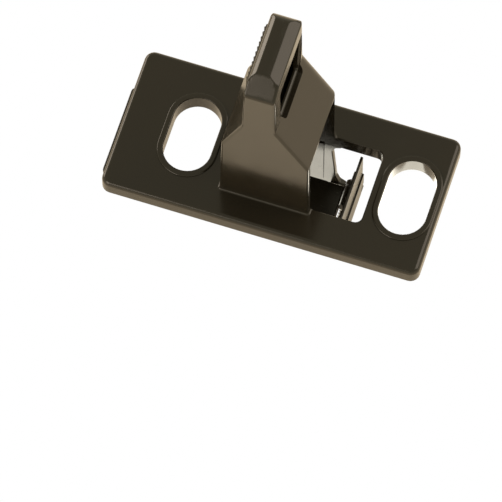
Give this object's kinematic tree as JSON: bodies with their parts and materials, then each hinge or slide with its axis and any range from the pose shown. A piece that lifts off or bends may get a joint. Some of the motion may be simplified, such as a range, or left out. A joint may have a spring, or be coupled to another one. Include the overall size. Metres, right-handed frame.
{
  "type": "stair gate latch",
  "caption": "Dark brown stair gate latch: slotted face plate, hollow post with a squeeze fin, spring-loaded bolt slide behind the plate and a stepped catch arm in its window.",
  "frame": {"origin": "centre of the plate's back face, which lies on the gate post", "axes": "+X along the plate from the bolt nose towards the window, +Y across the plate, +Z out of the face towards the fin's tip"},
  "size_m": [0.1023, 0.0466, 0.1091],
  "materials": {
    "housing_plastic": "glossy moulded ABS, dark olive brown",
    "grip_plastic": "satin ribbed pad",
    "trigger_plastic": "moulded acetal, near black brown",
    "carrier_plastic": "glossy moulded ABS",
    "arm_plastic": "glossy moulded ABS",
    "slide_steel": "stamped sheet, dark brown coat",
    "screw_steel": "zinc plated",
    "pin_steel": "ground steel",
    "rivet_steel": "headed steel rivet",
    "spring_steel": "drawn spring wire"
  },
  "bodies": {
    "housing": {"latch_housing": "housing_plastic", "thumb_grip": "grip_plastic", "trigger_pin": "pin_steel", "slide_screws": "screw_steel", "slide_washers": "screw_steel", "spring_rods": "pin_steel", "front_spring": "spring_steel", "back_spring": "spring_steel"},
    "slide": {"bolt_slide": "slide_steel", "catch_carrier": "carrier_plastic", "carrier_rivets": "rivet_steel", "arm_pin": "pin_steel"},
    "trigger": {"release_trigger": "trigger_plastic"},
    "arm": {"catch_arm": "arm_plastic", "arm_spring": "spring_steel"}
  },
  "joints": [
    {"name": "slide_travel", "type": "slide", "parent": "housing", "child": "slide", "axis": [1, 0, 0], "range_m": [0, 0.004], "stiffness_N_per_m": 1000, "springref_m": -0.003, "deforming": ["front_spring", "back_spring"]},
    {"name": "trigger_turn", "type": "hinge", "parent": "housing", "child": "trigger", "pos_m": [-0.002, 0, 0.048], "axis": [0, 1, 0], "range_deg": [-4.6, 0]},
    {"name": "arm_flex", "type": "hinge", "parent": "slide", "child": "arm", "pos_m": [0.02, 0, -0.021], "axis": [0, 1, 0], "range_deg": [-10, 0], "stiffness_Nm_per_rad": 0.3, "springref_deg": 5.73, "deforming": ["arm_spring"]}
  ],
  "couplings": [
    {"joint": "trigger_turn", "follows": "slide_travel", "rad_per_m": -19.763}
  ]
}
